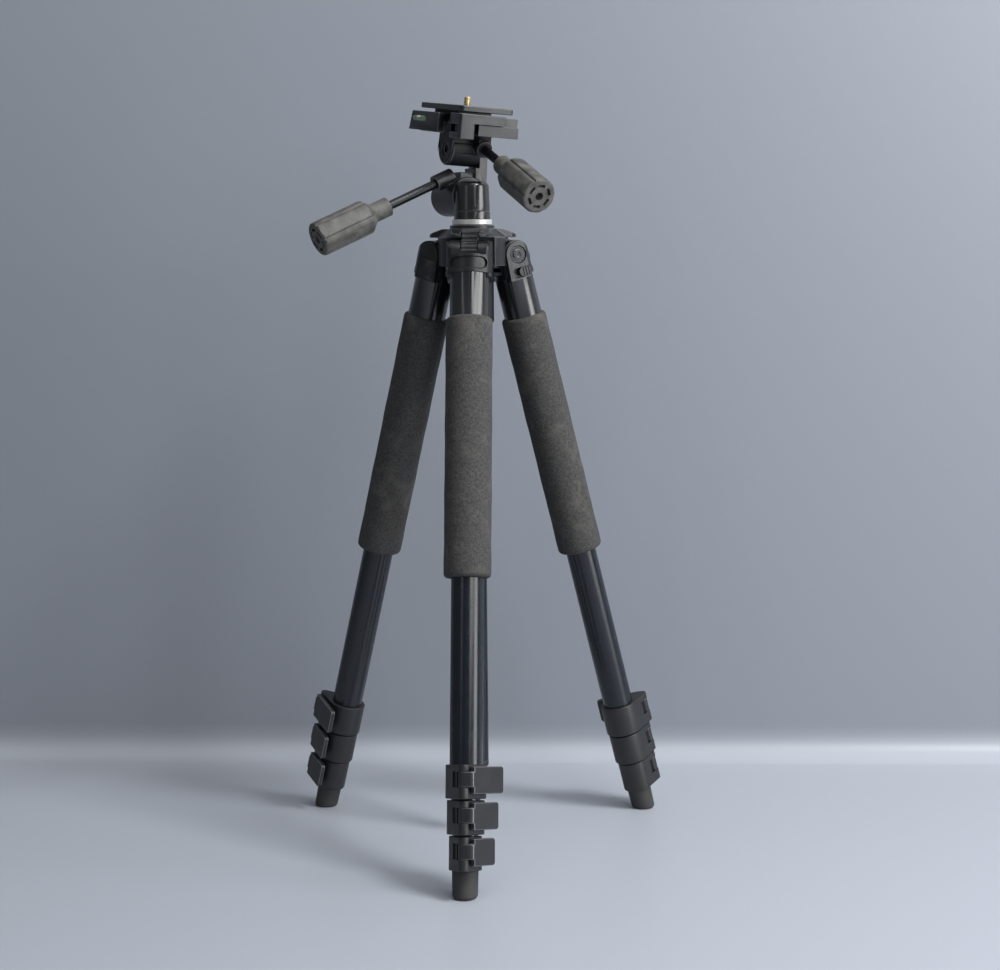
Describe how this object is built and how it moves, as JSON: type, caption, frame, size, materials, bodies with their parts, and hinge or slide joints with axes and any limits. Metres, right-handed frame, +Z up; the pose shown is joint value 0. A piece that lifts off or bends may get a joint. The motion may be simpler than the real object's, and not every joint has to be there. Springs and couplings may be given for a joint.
{
  "type": "camera tripod with three-way pan head",
  "caption": "Folded-height camera tripod: telescoping legs with flip locks and foam grips, sliding centre column, pan-and-tilt head with two twist handles and a quick-release camera plate.",
  "frame": {"origin": "on the floor, under the middle of the bounding box", "axes": "+Z up, +Y away from the viewer of the picture, +X to the viewer's right; the front leg points along -Y"},
  "size_m": [0.3462, 0.3044, 0.6763],
  "materials": {
    "black_foam": "closed-cell foam sleeve",
    "black_anodised": "gloss black anodised tube",
    "black_casting": "satin black painted die casting",
    "black_plastic": "moulded black plastic",
    "grip_rubber": "moulded handle rubber",
    "foot_rubber": "black rubber",
    "steel": "blackened steel",
    "silver_ring": "turned silver ring",
    "brass": "brass",
    "level_vial": "clear tinted vial"
  },
  "bodies": {
    "hub": {"hub": "black_casting", "leg_pivot_bolts": "steel"},
    "column": {"centre_column": "black_anodised", "column_end_cap": "black_plastic", "pan_ring": "silver_ring"},
    "column_knob": {"column_lock_knob": "black_plastic"},
    "pan": {"pan_base": "black_casting"},
    "lean": {"lean_body": "black_casting", "tilt_bolt": "steel"},
    "platform": {"tilt_platform": "black_casting", "bubble_level": "level_vial"},
    "side_handle": {"side_handle_rod": "steel", "side_handle_grip": "grip_rubber"},
    "tilt_handle": {"tilt_handle_rod": "steel", "tilt_handle_grip": "grip_rubber"},
    "release_lever": {"quick_release_lever": "black_casting"},
    "plate": {"camera_plate": "black_casting"},
    "screw": {"camera_screw": "brass"},
    "front_leg": {"front_leg_top": "black_casting", "front_foam_grip": "black_foam", "front_upper_tube": "black_anodised", "front_upper_lock": "black_plastic"},
    "front_angle_button": {"front_angle_button": "black_plastic"},
    "front_second_section": {"front_second_tube": "black_anodised", "front_middle_lock": "black_plastic"},
    "front_third_section": {"front_third_tube": "black_anodised", "front_lower_lock": "black_plastic"},
    "front_bottom_section": {"front_bottom_tube": "black_anodised", "front_foot": "foot_rubber"},
    "front_upper_lever": {"front_upper_lever": "black_plastic"},
    "front_middle_lever": {"front_middle_lever": "black_plastic"},
    "front_lower_lever": {"front_lower_lever": "black_plastic"},
    "right_leg": {"right_leg_top": "black_casting", "right_foam_grip": "black_foam", "right_upper_tube": "black_anodised", "right_upper_lock": "black_plastic"},
    "right_angle_button": {"right_angle_button": "black_plastic"},
    "right_second_section": {"right_second_tube": "black_anodised", "right_middle_lock": "black_plastic"},
    "right_third_section": {"right_third_tube": "black_anodised", "right_lower_lock": "black_plastic"},
    "right_bottom_section": {"right_bottom_tube": "black_anodised", "right_foot": "foot_rubber"},
    "right_upper_lever": {"right_upper_lever": "black_plastic"},
    "right_middle_lever": {"right_middle_lever": "black_plastic"},
    "right_lower_lever": {"right_lower_lever": "black_plastic"},
    "left_leg": {"left_leg_top": "black_casting", "left_foam_grip": "black_foam", "left_upper_tube": "black_anodised", "left_upper_lock": "black_plastic"},
    "left_angle_button": {"left_angle_button": "black_plastic"},
    "left_second_section": {"left_second_tube": "black_anodised", "left_middle_lock": "black_plastic"},
    "left_third_section": {"left_third_tube": "black_anodised", "left_lower_lock": "black_plastic"},
    "left_bottom_section": {"left_bottom_tube": "black_anodised", "left_foot": "foot_rubber"},
    "left_upper_lever": {"left_upper_lever": "black_plastic"},
    "left_middle_lever": {"left_middle_lever": "black_plastic"},
    "left_lower_lever": {"left_lower_lever": "black_plastic"}
  },
  "joints": [
    {"name": "front_leg_spread", "type": "hinge", "parent": "hub", "child": "front_leg", "pos_m": [0.0019, 0.0098, 0.5355], "axis": [-1, 0, 0], "range_deg": [-10, 35]},
    {"name": "front_angle_button_slide", "type": "slide", "parent": "front_leg", "child": "front_angle_button", "axis": [0, 0.9659, -0.2588], "range_m": [0, 0.006]},
    {"name": "front_second_section_slide", "type": "slide", "parent": "front_leg", "child": "front_second_section", "axis": [0, -0.2588, -0.9659], "range_m": [0, 0.34]},
    {"name": "front_third_section_slide", "type": "slide", "parent": "front_second_section", "child": "front_third_section", "axis": [0, -0.2588, -0.9659], "range_m": [0, 0.34]},
    {"name": "front_bottom_section_slide", "type": "slide", "parent": "front_third_section", "child": "front_bottom_section", "axis": [0, -0.2588, -0.9659], "range_m": [0, 0.34]},
    {"name": "front_upper_lever_flip", "type": "hinge", "parent": "front_leg", "child": "front_upper_lever", "pos_m": [0.0019, -0.13375, 0.10023], "axis": [0, -0.2588, -0.9659], "range_deg": [0, 110]},
    {"name": "front_middle_lever_flip", "type": "hinge", "parent": "front_second_section", "child": "front_middle_lever", "pos_m": [0.0019, -0.13808, 0.07054], "axis": [0, -0.2588, -0.9659], "range_deg": [0, 110]},
    {"name": "front_lower_lever_flip", "type": "hinge", "parent": "front_third_section", "child": "front_lower_lever", "pos_m": [0.0019, -0.14338, 0.04111], "axis": [0, -0.2588, -0.9659], "range_deg": [0, 110]},
    {"name": "right_leg_spread", "type": "hinge", "parent": "hub", "child": "right_leg", "pos_m": [0.03325, 0.0641, 0.5355], "axis": [0.5, -0.866, 0], "range_deg": [-10, 35]},
    {"name": "right_angle_button_slide", "type": "slide", "parent": "right_leg", "child": "right_angle_button", "axis": [-0.8365, -0.483, -0.2588], "range_m": [0, 0.006]},
    {"name": "right_second_section_slide", "type": "slide", "parent": "right_leg", "child": "right_second_section", "axis": [0.2241, 0.1294, -0.9659], "range_m": [0, 0.34]},
    {"name": "right_third_section_slide", "type": "slide", "parent": "right_second_section", "child": "right_third_section", "axis": [0.2241, 0.1294, -0.9659], "range_m": [0, 0.34]},
    {"name": "right_bottom_section_slide", "type": "slide", "parent": "right_third_section", "child": "right_bottom_section", "axis": [0.2241, 0.1294, -0.9659], "range_m": [0, 0.34]},
    {"name": "right_upper_lever_flip", "type": "hinge", "parent": "right_leg", "child": "right_upper_lever", "pos_m": [0.15757, 0.13587, 0.10023], "axis": [0.2241, 0.1294, -0.9659], "range_deg": [0, 110]},
    {"name": "right_middle_lever_flip", "type": "hinge", "parent": "right_second_section", "child": "right_middle_lever", "pos_m": [0.16132, 0.13804, 0.07054], "axis": [0.2241, 0.1294, -0.9659], "range_deg": [0, 110]},
    {"name": "right_lower_lever_flip", "type": "hinge", "parent": "right_third_section", "child": "right_lower_lever", "pos_m": [0.16591, 0.14069, 0.04111], "axis": [0.2241, 0.1294, -0.9659], "range_deg": [0, 110]},
    {"name": "left_leg_spread", "type": "hinge", "parent": "hub", "child": "left_leg", "pos_m": [-0.02945, 0.0641, 0.5355], "axis": [0.5, 0.866, 0], "range_deg": [-10, 35]},
    {"name": "left_angle_button_slide", "type": "slide", "parent": "left_leg", "child": "left_angle_button", "axis": [0.8365, -0.483, -0.2588], "range_m": [0, 0.006]},
    {"name": "left_second_section_slide", "type": "slide", "parent": "left_leg", "child": "left_second_section", "axis": [-0.2241, 0.1294, -0.9659], "range_m": [0, 0.34]},
    {"name": "left_third_section_slide", "type": "slide", "parent": "left_second_section", "child": "left_third_section", "axis": [-0.2241, 0.1294, -0.9659], "range_m": [0, 0.34]},
    {"name": "left_bottom_section_slide", "type": "slide", "parent": "left_third_section", "child": "left_bottom_section", "axis": [-0.2241, 0.1294, -0.9659], "range_m": [0, 0.34]},
    {"name": "left_upper_lever_flip", "type": "hinge", "parent": "left_leg", "child": "left_upper_lever", "pos_m": [-0.15377, 0.13587, 0.10023], "axis": [-0.2241, 0.1294, -0.9659], "range_deg": [0, 110]},
    {"name": "left_middle_lever_flip", "type": "hinge", "parent": "left_second_section", "child": "left_middle_lever", "pos_m": [-0.15752, 0.13804, 0.07054], "axis": [-0.2241, 0.1294, -0.9659], "range_deg": [0, 110]},
    {"name": "left_lower_lever_flip", "type": "hinge", "parent": "left_third_section", "child": "left_lower_lever", "pos_m": [-0.16211, 0.14069, 0.04111], "axis": [-0.2241, 0.1294, -0.9659], "range_deg": [0, 110]},
    {"name": "column_rise", "type": "slide", "parent": "hub", "child": "column", "axis": [0, 0, 1], "range_m": [0, 0.3]},
    {"name": "column_knob_turn", "type": "hinge", "parent": "hub", "child": "column_knob", "pos_m": [0.0019, 0.076, 0.5], "axis": [0, 1, 0], "range_deg": [0, 270]},
    {"name": "pan_turn", "type": "hinge", "parent": "column", "child": "pan", "pos_m": [0.0019, 0.046, 0.5668], "axis": [0, 0, 1], "continuous": true},
    {"name": "side_lean", "type": "hinge", "parent": "pan", "child": "lean", "pos_m": [0.0019, 0.046, 0.5875], "axis": [0.5264, -0.8503, 0], "range_deg": [-86, 15]},
    {"name": "platform_tilt", "type": "hinge", "parent": "lean", "child": "platform", "pos_m": [-0.00396, 0.06001, 0.62893], "axis": [0.8489, 0.5255, -0.0576], "range_deg": [-50, 15]},
    {"name": "side_handle_twist", "type": "hinge", "parent": "lean", "child": "side_handle", "pos_m": [-0.02913, 0.04913, 0.59974], "axis": [-0.7827, -0.4845, -0.3907], "range_deg": [0, 180]},
    {"name": "tilt_handle_twist", "type": "hinge", "parent": "platform", "child": "tilt_handle", "pos_m": [0.00294, 0.06314, 0.63776], "axis": [0.4632, -0.7918, -0.3981], "range_deg": [0, 180]},
    {"name": "release_lever_swing", "type": "hinge", "parent": "platform", "child": "release_lever", "pos_m": [-0.00411, 0.01989, 0.64792], "axis": [-0.1037, 0.0587, -0.9929], "range_deg": [0, 60]},
    {"name": "plate_slide", "type": "slide", "parent": "platform", "child": "plate", "axis": [-0.5184, 0.8488, 0.1044], "range_m": [0, 0.06]},
    {"name": "camera_screw_spin", "type": "hinge", "parent": "plate", "child": "screw", "pos_m": [-0.00228, 0.05624, 0.66801], "axis": [0.1037, -0.0587, 0.9929], "continuous": true}
  ]
}
